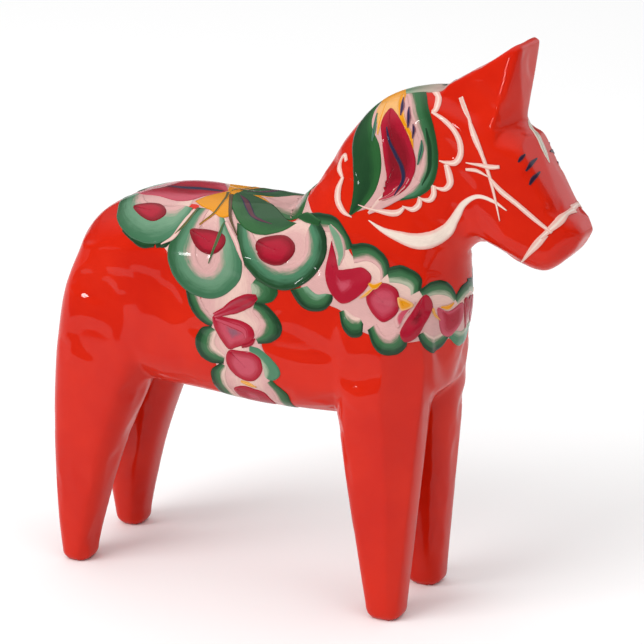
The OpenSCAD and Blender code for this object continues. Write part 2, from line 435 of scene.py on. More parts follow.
# Brush paint: bristle streaks are a noise drawn out along the stroke. They shift the place across
# the stroke, where the three loads of the brush meet, and thin the paint where its cover is low.
def brushPaint():
    m = newMaterial("brushPaint")
    own = lambda name, out: m.node("ShaderNodeAttribute", {"attribute_name": name}, {}, out)
    uv = m.node("ShaderNodeUVMap", {"uv_map": "UVMap"})
    drawn = m.node("ShaderNodeMapping", {}, {"Vector": uv, "Scale": (1.0, 0.08, 1.0)})
    streaks = m.noise(drawn, 16, 3, 0.6)
    hairs = m.noise(drawn, 60, 2, 0.6)
    wander = m.noise(uv, 1.6, 1)
    across = own("across", "Fac") + (streaks - 0.5) * 0.34 + (hairs - 0.5) * 0.14 + (wander - 0.5) * 0.12
    paint = m.mix(m.step(across, 0.1, 0.44), own("innerLoad", "Color"), own("middleLoad", "Color"))
    paint = m.mix(m.step(across, 0.48, 0.88), paint, own("outerLoad", "Color"))
    tone = m.node("ShaderNodeHueSaturation", {}, {"Color": paint, "Value": 0.86 + hairs * 0.28})
    thin = m.step(own("cover", "Fac") + (streaks - 0.5) * 0.5 + (hairs - 0.5) * 0.5, 0.2, 0.42)
    return m.finish({"Base Color": m.mix(thin, srgb(210, 32, 6), tone), "Roughness": 0.32 + streaks * 0.12,
                     "Normal": m.bump(hairs + streaks, 0.3, 0.0001), "Coat Roughness": 0.06, **varnish})


horseBody.data.materials.clear()
horseBody.data.materials.append(redLacquer())
print("block painted")

tones = {
    "deep": (30, 62, 38), "dark": (38, 82, 46), "leaf": (46, 98, 52), "moss": (62, 110, 72),
    "mid": (78, 130, 98), "soft": (122, 160, 130), "pale": (176, 182, 158), "olive": (96, 88, 42),
    "shell": (232, 196, 184), "rose": (218, 170, 166), "pink": (196, 78, 96), "mauve": (150, 92, 108),
    "berry": (172, 24, 48), "wine": (136, 18, 34), "gold": (230, 150, 16), "sand": (236, 178, 110),
    "night": (44, 42, 74), "dusk": (42, 26, 50), "plum": (92, 44, 56),
    "white": (240, 222, 208), "blush": (236, 184, 172),
}

surface = BVHTree.FromPolygons([v.co[:] for v in horseBody.data.vertices],
                               [p.vertices[:] for p in horseBody.data.polygons])


# A control point is either x and z in side view, which is found on the right flank, or x, y and z,
# which goes to the nearest place on the carving. All are mm.
def onSurface(point):
    hit = None
    if len(point) == 2:
        hit = surface.ray_cast(Vector((point[0] * mm, -0.1, point[1] * mm)), Vector((0, 1, 0)))[0]
        point = (point[0], -5, point[1])
    return np.array(hit or surface.find_nearest(Vector(point) * mm)[0]) / mm


def snapped(points, count):
    return smoothRows([onSurface(p) for p in points], count)


def lineLength(points):
    return np.linalg.norm(np.diff([onSurface(p) for p in points], axis=0), axis=1).sum()


strokeLook = {
    "spacing": 0.65,  # mm, between the points of a stroke
    "rise": 0.05,  # mm, for each layer of paint
    "firstRise": 0.1,
    "laterRise": 0.004,  # mm, for each stroke that was painted before, so that no two lie in one place
    "dome": 0.05,
    "thickness": 0.5,
    "unevenness": 0.25,  # mm, at the edges of a stroke
    "unevenShare": 0.06,  # of the stroke's width, where that is less
    "mirrorShift": 0.35,  # mm, how far the left side's strokes stray from the right side's
}


# Gathers the strokes of one painted part into one mesh
class Brush:
    def __init__(self, name, node, slotName, sides):
        self.name, self.node, self.slotName, self.sides = name, node, slotName, sides
        self.parts = []
        self.first = 0

    def stroke(self, layer, loads, edge=None, to=None, outline=None, middle=None, line=None, widths=None,
               cover=1.0, ends=None):
        if edge:
            rows = int(lineLength(edge) / strokeLook["spacing"] + 8)
            outer, inner = snapped(edge, rows), snapped(to * 2 if len(to) == 1 else to, rows)
        elif outline:
            ring = [onSurface(p) for p in outline]
            closed = smoothRows(ring[-2:] + ring + ring[:3], (len(ring) + 4) * 12 + 1)
            outer = closed[24:24 + len(ring) * 12 + 1:3]
            inner = np.repeat([onSurface(middle)], len(outer), 0)
        else:
            # the edges lie half the width to each side, square to the line along the surface
            rows = int(lineLength(line) / strokeLook["spacing"] + 8)
            path = snapped(line, rows)
            normals = np.array([surface.find_nearest(Vector(p) * mm)[1][:] for p in path])
            half = smoothRows(np.array(widths, float)[:, None], rows).clip(0.1) / 2
            across = unit(np.cross(normals, np.gradient(path, axis=0))) * half
            outer, inner = path + across, path - across
        columns = int(np.clip(np.linalg.norm(outer - inner, axis=1).max() / strokeLook["spacing"], 8, 60))
        for side in self.sides:
            self.strip(outer, inner, side, bool(line), columns, layer, loads, ends or loads, cover)

    # Strip between two edges. Each point lies a share u of the way from the inner to the outer edge,
    # and rises by one step for each layer plus a dome, 1 minus the square of twice u minus one, which
    # is lower at the stroke's two ends.
    def strip(self, outer, inner, side, centred, columns, layer, loads, ends, cover):
        rows = len(outer)
        chance = np.random.default_rng(len(self.parts) * 17 + (side > 0) * 5 + len(self.node))
        flip = np.array([1, -side, 1])
        shift = chance.normal(0, strokeLook["mirrorShift"], 3) * (side > 0) * [1, 0, 1]
        waver = np.cumsum(chance.normal(0, 1, (rows, 1)), 0) / math.sqrt(rows)
        waver -= np.linspace(waver[0], waver[-1], rows)
        spread = outer - inner
        size = np.linalg.norm(spread, axis=1, keepdims=True)
        most = np.minimum(strokeLook["unevenness"], strokeLook["unevenShare"] * size)
        spread = spread + unit(spread) * most * waver
        u = np.tile(np.linspace(0, 1, columns), (rows, 1))
        v = np.tile(np.linspace(0, 1, rows)[:, None], (1, columns))
        points = (inner[:, None] + spread[:, None] * u[..., None]) * flip + shift
        dome = (1 - (2 * u - 1) ** 2) * np.clip(8 * v * (1 - v), 0, 1)
        rise = strokeLook["firstRise"] + strokeLook["rise"] * layer + strokeLook["dome"] * dome
        rise = rise + strokeLook["laterRise"] * (len(self.parts) // len(self.sides))
        length = np.linalg.norm(np.diff(outer, axis=0), axis=1).sum()
        start = chance.uniform(0, 90, 2)
        uv = np.stack([u * size.mean() + start[0], v * length + start[1]], -1) / 10
        pairs = [(np.array(srgb(*tones[a])), np.array(srgb(*tones[b]))) for a, b in zip(loads, ends)]
        colours = [a + (b - a) * v[..., None] for a, b in pairs]
        shares = np.resize(cover, max(2, np.size(cover)))
        covers = np.interp(v, np.linspace(0, 1, len(shares)), shares)
        # the strip faces the way the carving does
        faces = gridFaces(rows, columns, False, self.first)
        k, c = rows // 2, columns // 2
        turn = np.cross(points[k, c + 1] - points[k, c - 1], points[k + 1, c] - points[k - 1, c])
        if np.dot(turn, surface.find_nearest(Vector(points[k, c]) * mm)[1]) < 0:
            faces = faces[:, ::-1]
        self.parts.append((points.reshape(-1, 3), faces, uv.reshape(-1, 2),
                           (np.abs(2 * u - 1) if centred else u).ravel(), covers.ravel(), rise.ravel(),
                           *(colour.reshape(-1, 4) for colour in colours)))
        self.first += rows * columns

    def finish(self):
        points, faces, uv, across, cover, rise, *loads = (np.concatenate(p) for p in zip(*self.parts))
        thing = meshObject(self.name, points * mm, faces.tolist())
        mesh = thing.data
        corners = np.empty(len(mesh.loops), int)
        mesh.loops.foreach_get("vertex_index", corners)
        mesh.uv_layers.new(name="UVMap").data.foreach_set("uv", uv[corners].ravel())
        for name, values in (("across", across), ("cover", cover)):
            mesh.attributes.new(name, "FLOAT", "POINT").data.foreach_set("value", values)
        for name, values in zip(("innerLoad", "middleLoad", "outerLoad"), loads):
            mesh.attributes.new(name, "FLOAT_COLOR", "POINT").data.foreach_set("color", values.ravel())
        group = thing.vertex_groups.new(name="rise")
        heights = rise.round(2)
        for height in np.unique(heights):
            group.add(np.nonzero(heights == height)[0].tolist(), float(height), "REPLACE")
        wrap = thing.modifiers.new("wrap", "SHRINKWRAP")
        wrap.target = horseBody
        lift = thing.modifiers.new("lift", "DISPLACE")
        lift.mid_level = 0
        lift.strength = mm
        lift.vertex_group = "rise"
        skin = thing.modifiers.new("skin", "SOLIDIFY")
        skin.thickness = strokeLook["thickness"] * mm
        skin.offset = -1
        mesh.materials.append(paintMaterial)
        mesh.shade_smooth()
        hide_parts(self.node)
        print(self.name, len(mesh.polygons), "faces")


paintMaterial = brushPaint()
both = (-1, 1)  # right and left


# Tones of a brush's three loads, from its inside to its outside
def threeTones(words):
    return (words.split() * 3)[:3] if words else None


# A band is drawn between two lines, a dab round a middle, and a line has its widths along it. Each
# lies on its layer of paint. Its ends are the loads where it runs out, if they differ.
def band(layer, edge, to, loads, ends=None, cover=1.0):
    return {"layer": layer, "edge": edge, "to": to, "loads": threeTones(loads), "ends": threeTones(ends),
            "cover": cover}


def dab(layer, outline, middle, loads):
    return {"layer": layer, "outline": outline, "middle": middle, "loads": threeTones(loads)}


def line(layer, path, widths, loads, ends=None, cover=1.0):
    return {"layer": layer, "line": path, "widths": widths, "loads": threeTones(loads),
            "ends": threeTones(ends), "cover": cover}


rim = "rose mid dark"
pinkBase = "rose rose shell"
berryDab = "berry berry wine"

saddleFlower = {"node": "saddle_flower", "slot": "green_paint", "sides": both, "strokes": [
    band(0, [(-62, -16, 116), (-54, 112), (-44, 111), (-38, 106), (-31, 98), (-22, 99), (-17, 106),
         (-8, 104), (2, 104), (9, 108), (10, 116), (8, -17, 120)],
         [(-64, 1, 119), (-50, 1, 122), (-30, 1, 122), (-10, 1, 122), (0, 1, 127)], pinkBase),
    dab(1, [(-38, -15, 120), (-40, 113), (-46, 112), (-54, 113), (-60, -17, 116), (-62, -8, 118.5),
        (-58, 0, 120.5), (-48, -5, 122), (-40, -8, 121.8)],
        (-50, -15, 119.5), pinkBase),
    dab(1, [(-34, -14, 120), (-37, 112), (-37, 104), (-30, 98), (-22, 99), (-17.5, 106), (-19, 112),
        (-24, -16, 118.5), (-29, -12, 120.5)],
        (-27, 109), pinkBase),
    dab(1, [(-17, 114), (-13, 107), (-8, 104), (-2, 103.5), (4, 105), (8, 110), (8.5, 115), (7, -18, 120),
        (2, -15.5, 121.5), (-6, -16, 120), (-14, -17, 118)],
        (-2, 113), pinkBase),
    # rear petal
    band(1, [(-45, 109), (-49, 108.5), (-53, 110), (-57, 112)],
         [(-44, 112), (-49, 112), (-53, 113), (-57, 114)], "dark dark deep"),
    band(1, [(-44, 109), (-40.5, 109.5), (-39, 112)], [(-46, 113), (-42, 113)], "dark dark deep"),
    band(2, [(-36.5, -14.5, 120), (-37, 114.5), (-41, 111.5), (-46, 110), (-51.5, 110.5), (-56, 112),
         (-60.5, 114.5), (-64, -11, 117), (-66.5, -4, 118.5), (-66.5, 3, 119)],
         [(-40, -14, 120.5), (-45, -15, 119.5), (-52, -14, 119.5), (-57, -8, 119.5), (-59, -1, 120)],
         "rose soft mid", ends="rose mid dark"),
    dab(4, [(-56.5, -15.5, 118), (-53.5, -14.5, 119), (-48, -14.5, 120), (-44.5, -16.5, 119),
        (-44, -18.5, 117.5), (-47, 116), (-51.5, 116.5)],
        (-50, -17, 118.2), berryDab),
    # middle petal
    band(2, [(-35, -14, 120), (-37, 117.5), (-38.5, 114), (-40, 109), (-39.5, 104.5), (-37.5, 100.5),
         (-33.5, 97), (-28, 95.5), (-22.5, 96.5), (-18, 100), (-15.5, 104.5), (-16, 109.5),
         (-18.5, 113.5), (-22, -19, 116.5), (-25, -16, 118.5)],
         [(-31, -14, 120), (-31, 113), (-30, 107), (-27, 104.5), (-24.5, 107), (-25, 113),
         (-27, -16, 119)], rim, ends="rose soft mid"),
    dab(4, [(-34, 115), (-30.5, -20, 115.5), (-26, -20, 115.7), (-22.5, 114.5), (-21.8, 112.2),
        (-23.5, 110), (-27, 109.3), (-30.8, 110.8)],
        (-27, 112.5), berryDab),
    # front petal
    band(3, [(-20, -17, 118), (-18, 113.5), (-16, 109), (-12.5, 105), (-9, 102.5), (-3.5, 101),
         (1.5, 102), (7, 105.5), (10.5, 110.5), (11, 115), (9.5, -18, 120), (6, -16.5, 123)],
         [(-15, -18, 117), (-10, 112.5), (-5, 109), (0, 109), (4, 112), (4, -17.5, 118)], rim,
         ends="rose mid deep"),
    dab(4, [(-11.8, 114), (-8.5, 115.7), (-3.5, -18.5, 116.7), (0.3, -19.5, 115), (0.8, 112), (-2, 109),
        (-6, 108.3), (-10, 110)],
        (-5.5, 112.5), berryDab),
    # white and olive lines between the petals
    line(3, [(-35.5, -15, 120), (-37.3, 115.5), (-39, 112.5), (-42.5, 110.3)], [0.8, 1.4, 1.2, 0.3],
         "shell shell rose"),
    line(4, [(-34.5, -14.5, 120), (-36, 116.5), (-38.5, 113.5)], [0.5, 1.1, 0.2], "olive olive mid",
         cover=[1, 0.9, 0.3]),
    line(4, [(-23.5, -17.5, 118), (-19, 114), (-15.8, 109.5), (-14.5, 106.5)], [0.9, 1.5, 0.8, 0.2],
         "shell rose rose"),
    # leaf along the back
    band(3, [(-66.5, 1, 118.5), (-58, -7.5, 120), (-50, -10.5, 121), (-44.5, -12, 120.5),
         (-39.5, -10.5, 121), (-35.5, -5, 122), (-32, 1, 122)],
         [(-66, 2, 118.5), (-50, 1, 122), (-32, 1.5, 122)], "wine berry pink"),
    line(5, [(-54, 0.5, 122), (-46, 0.5, 122), (-40, 0.5, 122), (-34, 0.5, 122)], [0.2, 1.6, 2, 0.6],
         "night night plum"),
    # front petal on the withers
    band(2, [(-30, -2, 122), (-22, -6, 122), (-12, -11, 122), (-4, -14.5, 121.5), (0.5, -14.5, 122.5),
         (1.5, -8, 126), (1, 1, 127)],
         [(-29, 1, 122), (-12, 1, 122), (-6, 1, 123)], "rose rose leaf"),
    # gold fan and its arm
    band(4, [(-37.5, -11, 121), (-34, -13.5, 120.5), (-30.5, -14.5, 120), (-26, -16.5, 119),
         (-23, -15.5, 119.5)],
         [(-32, 1, 122)], "gold"),
    line(4, [(-32, 1, 122), (-26, -1, 122), (-20, -3, 122), (-14, -6.5, 121.8)], [2, 5, 4, 0.4], "gold",
         cover=[1, 1, 0.5]),
    line(5, [(-1, -15, 122), (3, -16.5, 122.5), (8, -17.5, 121.5)], [0.8, 3, 1.6], "dark dark leaf"),
    # green leaf towards the neck
    band(5, [(-29, -2, 122), (-27.5, -7, 122), (-24, -12.5, 120.8), (-19.5, -17, 118.5),
         (-15, -19, 116.7), (-10.5, -19, 116.2), (-5.5, -17.7, 117.5), (-0.5, -16, 120)],
         [(-29, 0, 122), (-24, 0, 122), (-18, -3, 122), (-11.5, -8, 121.5), (-5.5, -13.5, 120.3),
         (-0.5, -16, 120)], "dark dark leaf"),
    line(6, [(-27, -2, 122), (-23, -6, 121.8), (-19.5, -10.5, 121), (-15, -14.5, 119.5),
         (-9, -15.8, 118.7)], [0.3, 1.9, 2, 1.3, 0.2], "plum plum night", cover=[0.7, 1, 1, 0.6]),
    # thin lines from the heart of the flower
    line(6, [(-31.5, -1, 122), (-29, -8, 121.7), (-28.5, -15, 119.5), (-31.5, 116.5)], [1.4, 1.2, 0.9,
         0.4], "olive olive gold"),
    line(6, [(-29.5, -3, 122), (-25.5, -11, 121), (-22.5, -16.5, 118.8), (-18.5, 115)], [1.2, 1, 0.8,
         0.3], "olive plum olive"),
    line(6, [(-24, -17.5, 118), (-24.3, 114.5), (-25, 110.5), (-26.2, 106.5)], [0.3, 1, 0.7, 0.2],
         "olive leaf mid", cover=[1, 1, 0.5]),
]}

girthGarland = {"node": "girth_garland", "slot": "pale_green_paint", "sides": None, "strokes": [
    band(0, [(-24, 104), (-28, 98), (-29, 91), (-26, 86.5), (-28, 82), (-25, 76), (-23, 71),
         (-24, -17, 65), (-21, -13, 61.5)],
         [(-12, 109), (-8, 102), (-8.5, 95), (-5.5, 90), (-9, 84), (-6.5, 78), (-6.5, 72), (-4, -19, 67),
         (-3, -13, 61.5)], "rose shell rose"),
    band(1, [(-34, 97), (-33, 93.5), (-31, 90), (-28, 87.5), (-25.5, 86.8)],
         [(-30, 97), (-27, 92), (-24.5, 89)], "rose moss deep"),
    band(1, [(-26, 87), (-29, 85.8), (-31, 82), (-30, 78), (-26.5, 75.5), (-22, 75.3)],
         [(-23.5, 85.5), (-24.5, 81.5), (-21.5, 78)], "shell moss deep"),
    band(1, [(-23, 75.5), (-26, 73), (-26.5, 69), (-26, -16.5, 64), (-22.5, -13.5, 61.5),
         (-19, -8, 60.8)],
         [(-21, 74.5), (-21.5, 70), (-20, -15, 63), (-16, -8, 60.8)], "shell moss deep"),
    band(1, [(-10.5, 104), (-6, 103), (-3.7, 100.3), (-5.5, 97.2), (-10, 95.8)],
         [(-12.5, 101.5), (-12, 98)], "pale moss dark"),
    band(1, [(-11, 96.5), (-8, 96.2), (-5, 94), (-2.5, 90.5), (-3, 87), (-6, 84.5), (-10, 83.5)],
         [(-12, 93.5), (-9.5, 90), (-11, 85.5)], "rose moss deep"),
    band(1, [(-13, 82.5), (-9.5, 81.7), (-5, 78.5), (-3, 75.5), (-3.8, 73.5), (-6, 72)],
         [(-13, 80.3), (-9, 77), (-8, 73)], "pale mid mid"),
    band(1, [(-6, 72.5), (-3.5, 70), (-1.5, -19.5, 67), (-2, -14, 62.3), (-3, -8, 60.8)],
         [(-8, 71), (-6.5, -20, 67.5), (-6, -13, 61.5), (-6, -8, 60.8)], "rose moss dark"),
    line(3, [(-10.5, 98), (-13.5, 96.5), (-18, 94), (-21, 92.3), (-24.5, 90.5)], [1.5, 4.2, 4.2, 2.6,
         1.6], "berry wine berry", ends="berry pink berry"),
    dab(2, [(-24.7, 90.5), (-20, 90.3), (-15, 89.7), (-11.8, 87.8), (-11.3, 85.2), (-13.5, 83),
        (-17, 81.5), (-20, 80.5), (-22.5, 83.5), (-24.5, 87)],
        (-18, 86), "mauve pink berry"),
    line(3, [(-24, 89.5), (-19, 88.3), (-14.8, 87), (-14, 84.7)], [0.8, 1.6, 1.8, 0.5], "pink pink berry",
         cover=[1, 0.8, 0.5]),
    line(3, [(-11, 85), (-12.5, 83.2), (-15.5, 82)], [0.4, 1.4, 1.2], "berry wine berry"),
    dab(2, [(-20, 80), (-21, 76.5), (-19, 73), (-15, 71), (-11.5, 71.7), (-9, 75), (-9.2, 78.5),
        (-12, 80.3), (-16, 80.5)],
        (-15, 75.5), "pink pink berry"),
    dab(2, [(-19.5, -20.5, 67.8), (-16, -21, 69.2), (-12.5, -20.7, 68.7), (-9, -20, 67),
        (-8, -15.5, 62.5), (-13, -14, 61.5), (-17.5, -15, 62), (-19.8, -18, 65)],
        (-14, -18.5, 65.5), "pink berry berry"),
    line(4, [(-16.5, 70.5), (-14, 69.9), (-11.5, 69.2)], [0.6, 1.3, 0.3], "sand gold sand", cover=0.8),
]}

breastGarland = {"node": "breast_garland", "slot": "pale_green_paint", "sides": both, "strokes": [
    band(0, [(4, 121), (14, 119.5), (19, 113), (25, 113), (30, 109), (36, 107.5), (40, 104),
         (44, -11, 104), (46.5, -5, 101.5), (47.5, 0.6, 102)],
         [(4, 102), (12, 99), (18, 97), (22, 93), (30, 91), (36, 90), (41, -16, 90), (44, -9, 88),
         (46, -4, 89), (47, 0.6, 88)], "rose rose shell"),
    # upper scallops, from the saddle to the middle of the chest
    band(1, [(2.5, -15.5, 123.5), (8, -16.5, 124.5), (13, -17, 123.7), (16.7, 119.5), (18.8, 115.5)],
         [(7, 119), (11, 119.5), (14.5, 118), (15.8, 114.5)], "rose moss deep"),
    band(1, [(17.5, 116.5), (22, 117.3), (26, 116.3), (29, 113.7), (30.7, 110)],
         [(20, 111.5), (24, 112.3), (27.5, 110.5), (28.5, 107.5)], "rose moss deep"),
    band(1, [(29.5, 110.7), (33, 111.7), (37, 110.3), (39.3, 108), (39.5, 105)],
         [(31, 107), (34, 106.7), (36.5, 105.5), (37, 103.5)], "pale moss deep"),
    band(1, [(39, -16, 105), (42.5, -13, 107.3), (45, -9.5, 106.7), (46.3, -7, 103.7), (46.7, -6, 101)],
         [(40, -15, 102.5), (43, -12, 103), (45, -9, 102), (46, -7, 100)], "pale moss deep"),
    band(1, [(46.5, -7, 101), (47.3, -4, 104), (47.7, 0.6, 105)],
         [(46.5, -5.5, 99), (47.5, -2, 100.5), (47.7, 0.6, 101)], "pale moss deep"),
    line(2, [(11, -17.5, 121.5), (13.5, 118), (15.2, 113.5), (15.5, 110.5)], [1, 3.2, 2.6, 0.6],
         "soft soft rose", cover=[0.6, 0.8, 0.5]),
    # lower scallops
    band(1, [(0.5, 101.5), (3.5, 97.5), (7, 96), (11.5, 96.8), (14, 99.5), (14.5, 102)],
         [(6, 103.5), (9, 101.5), (12, 102)], "soft moss deep"),
    band(1, [(16.5, 97), (17.8, 92.7), (20.5, 90), (24, 91), (24.5, 94.5)],
         [(18.5, 98), (21, 96.5), (23.3, 96)], "shell moss deep"),
    band(1, [(26, 93), (27.8, 88.3), (31, 86), (34.5, 86.3), (37, 88.7), (37.7, 91.7)],
         [(28.5, 95), (31.5, 92), (34.5, 93)], "rose moss deep"),
    band(1, [(38.7, -17.7, 92), (40.5, -16.5, 88), (43, -13.2, 85.3), (44.2, -9.5, 85.7), (45, -7, 89)],
         [(40.5, -15.5, 92.5), (43, -13, 90.5), (44.3, -9, 91)], "shell moss deep"),
    band(1, [(45, -7, 88.5), (45.7, -3, 85), (46.2, 0.6, 84.5)],
         [(45.5, -6, 91), (46.5, -2.5, 89.7), (46.7, 0.6, 90)], "pale mid mid"),
    # dabs
    dab(3, [(12, 117), (12.2, 112.5), (13.5, 110), (16, 109.3), (19.5, 110), (22.8, 110.5), (25.7, 108.5),
        (25, 105.5), (22.5, 102.5), (19, 100), (16.3, 100), (13.3, 103), (11.8, 107), (11.7, 111)],
        (17.5, 105), "pink berry berry"),
    dab(3, [(26.3, 105), (28, 106.8), (30.7, 106.7), (33.3, 105), (34.3, 101.5), (33.5, 98), (30.7, 95.7),
        (28, 97), (26, 99.5), (25, 102.5)],
        (29.7, 101.5), "pink pink berry"),
    dab(4, [(40, -15, 103.3), (41.8, -13.5, 101.7), (42.2, -13.5, 98.5), (40.5, -16, 94.5),
        (38.7, -18.3, 91.3), (36.5, -20, 90.5), (35.3, -21, 93), (37.3, -18, 98)],
        (39, -17, 97), "wine berry berry"),
    dab(3, [(38.3, -16.5, 101.5), (36, -19, 97.5), (34.7, -21, 93.7), (33, -19.7, 96.5),
        (35, -18.7, 99.8)],
        (35.5, -19, 97.5), "pink pink rose"),
    dab(3, [(43, -11.5, 99), (45.2, -8.7, 97.3), (47.3, -3.5, 99), (47.3, -2.8, 94.5), (46.5, -4.5, 91.3),
        (45.2, -7, 89), (44, -10, 90.7), (43.3, -11.2, 95)],
        (45.7, -7, 94.3), "berry berry pink"),
    dab(3, [(47.3, -2.5, 99.5), (47.8, 0.6, 98.5), (47.4, 0.6, 90.5), (47, -1.5, 92.5)],
        (47.5, -0.8, 95.5), "pink berry berry"),
    # gold touches
    line(4, [(25.3, 106.5), (27, 105.7), (29, 107)], [0.6, 1.7, 0.3], "gold gold sand"),
    line(4, [(23, 102), (25, 103.5), (27, 105.5)], [0.2, 0.9, 0.5], "gold sand sand"),
    dab(4, [(34, 103), (37.8, -17, 100.7), (35, 99), (34, 101)], (35.3, 100.8), "gold gold sand"),
    line(4, [(43.5, -10.5, 99), (45, -8.7, 98.6), (46, -7, 99.7)], [0.5, 1.4, 0.3], "gold gold sand"),
    line(4, [(42.5, -13.2, 99), (42.8, -12.5, 97), (43.6, -11, 95)], [0.7, 1, 0.2], "sand gold sand"),
]}

manePanel = {"node": "mane_panel", "slot": "green_paint", "sides": both, "strokes": [
    band(0, [(17, -2.5, 154), (15.5, -9, 147), (18, 140), (19.5, 132), (19, 126)],
         [(30, -1, 161), (36, -8, 156), (39, 147), (38.5, 139), (34, 132)], "rose"),
    band(1, [(18, 0.6, 156), (14.5, -4, 151.5), (13.7, -8, 147), (16, 140), (17, 134), (17, 129),
         (16.5, 124.8)],
         [(20, -0.5, 156.5), (20.5, -8, 151), (24, 146), (25, 139.5), (24, 133), (21, 128), (17.5, 125)],
         "leaf dark deep", ends="leaf deep dark"),
    band(1, [(30, 0.6, 161), (35, -4, 160.5), (39, -9, 156), (41.3, 149), (42, 141), (40.3, 135),
         (36.7, 131.7), (31, 130)],
         [(26, 0.6, 160), (31, -6, 157.5), (35, 151), (37, 145), (36.7, 139.5), (34.3, 134),
         (31.5, 131.5)], "rose leaf dark", ends="rose mid dark"),
    line(2, [(38.3, 152), (39.5, 146), (39.5, 140), (37.5, 135)], [0.5, 1.4, 1.2, 0.3], "deep deep dark",
         cover=0.6),
    # tongue of pink under the leaf
    band(2, [(37, 136), (33, 131.5), (28, 128), (22.5, 125.5)],
         [(34, 138), (30, 134), (25.5, 131), (22, 126)], "shell rose rose"),
    # gold and peach at the top
    band(2, [(20, -1, 157), (23, -0.5, 159), (27, -0.5, 160.5), (29, -4, 159.5)],
         [(21.5, -9, 151.5), (25, 151), (30, 151.5), (33.3, 148.5)], "sand sand gold", cover=[1, 1, 0.9]),
    line(3, [(27.5, -4, 159.5), (28.5, -7.5, 157.5), (31, 153), (33.5, 149.5), (34.5, 145)], [1.4, 2, 1.8,
         1.4, 0.3], "gold gold sand", cover=[1, 1, 0.6]),
    line(3, [(23, -5, 157), (23.5, -8.5, 153), (23.3, 148.5)], [1, 1.6, 0.4], "gold sand sand"),
    # leaf
    dab(4, [(25.5, -7.5, 155.7), (28, -9, 155), (30.5, 153), (33, 149), (34.8, 144.5), (35.3, 139.5),
        (33.8, 135), (31, 132), (26, 129.7), (26.7, 133), (26.8, 136.5), (25.8, 141.5), (25, 147),
        (24, -9.5, 152)],
        (29.5, 143), "wine wine berry"),
    line(4, [(33.5, 138), (31.5, 134.5), (28.5, 131.5), (25, 129.8)], [1.6, 2.2, 1.6, 0.4],
         "pink berry rose", cover=[0.4, 0.8, 0.6]),
    line(5, [(26, 151), (27.3, 147), (29.3, 143.5), (31.3, 139.5), (31.7, 136), (29.5, 131.5)], [0.4, 1,
         1.3, 1.5, 1.2, 0.3], "night night plum", cover=[0.7, 1, 1, 0.8]),
    # dark bars
    line(5, [(28.7, -5.5, 159), (29.7, 156.5), (30, 154.5)], [0.3, 1.3, 0.4], "night night mauve"),
    line(5, [(32, -8.5, 157), (32.7, 154.5), (32.7, 151.5)], [0.3, 1.3, 0.4], "night night mauve"),
    line(5, [(34.2, 152.7), (34.6, 151), (34.2, 148.5)], [0.2, 1, 0.3], "night night mauve"),
    line(5, [(37, 148.3), (37, 145), (36, 141)], [0.3, 1.4, 0.4], "night mid mid"),
    line(5, [(21.5, -7, 153.5), (22, 150), (21.8, 146.5)], [0.3, 1.1, 0.3], "night mid mid"),
    # band along the crest to the ears
    line(1, [(27, -0.5, 160), (33, -0.5, 162.3), (39, -0.5, 164), (44, -0.5, 165.5)], [7, 9, 10, 10],
         "soft mid soft", ends="rose"),
    line(3, [(38.5, 0, 164.3), (40, 0, 164.7), (41.7, 0, 165)], [1, 2.6, 1.2], "night deep deep"),
]}

whiteLines = "white blush blush"
maneScallops = {"node": "mane_scallops", "slot": "white_paint", "sides": None, "strokes": [
    line(1, [(37.5, -4, 161), (40.3, -6.5, 160.2), (41, 158), (40, 156.5)], [1.4, 1.9, 1.8, 1.3],
         whiteLines),
    line(2, [(39.7, 156.7), (43.5, 155), (47, 152.3), (49, 149), (49.2, 145.5), (47.5, 142.8),
         (44.7, 142.5), (42.5, 142.8)], [0.7, 1.3, 1.6, 1.9, 2.1, 1.8, 1, 0.3], whiteLines),
    line(1, [(44.7, 142), (45.6, 139), (46, 136.5), (44.6, 134.7), (42.3, 134.7), (40.5, 135.5)], [1.6,
         2.1, 2, 1.5, 0.8, 0.3], whiteLines),
    line(2, [(41, 135.3), (41.2, 132.7), (40, 131), (38, 131), (36.5, 131.7)], [1.3, 1.8, 1.6, 0.9, 0.3],
         whiteLines),
    line(1, [(37, 131.3), (36.8, 129.3), (35.3, 127.9), (33.5, 128.1), (32, 128.6)], [1.2, 1.8, 1.6, 0.9,
         0.3], whiteLines),
    line(2, [(32.5, 128.2), (31, 126.7), (29, 126.3), (26, 126.6), (22, 127.2), (19, 128)], [0.9, 1.8,
         1.9, 1.4, 0.7, 0.2], whiteLines, cover=[1, 1, 0.5]),
]}
maneSquiggle = {"node": "mane_squiggle", "slot": "white_paint", "sides": None, "strokes": [
    line(1, [(13.5, 139.7), (12.5, 141), (11.2, 139.8), (11.2, 137.3), (13.2, 135)], [1.4, 1.4, 1.5, 1.8,
         0.8], whiteLines),
    line(2, [(13.3, 135.3), (12.3, 132), (12.6, 128.5), (14.7, 125.7), (17.5, 124.3)], [0.9, 1.7, 1.9,
         1.5, 0.3], whiteLines),
]}
cheekSwoosh = {"node": "cheek_swoosh", "slot": "white_paint", "sides": None, "strokes": [
    line(1, [(22.5, 123.8), (27, 121.3), (32, 119.7), (37, 118.7), (41.5, 119.5), (45, 122), (47.5, 126),
         (50.5, 131), (55, 133.8), (60, 133), (64, 130.8)], [0.3, 1.5, 3, 4.3, 4.6, 3.8, 2.6, 1.8, 1.2, 1,
         0.3], "white white blush", cover=[0.7, 1, 1, 0.9]),
]}
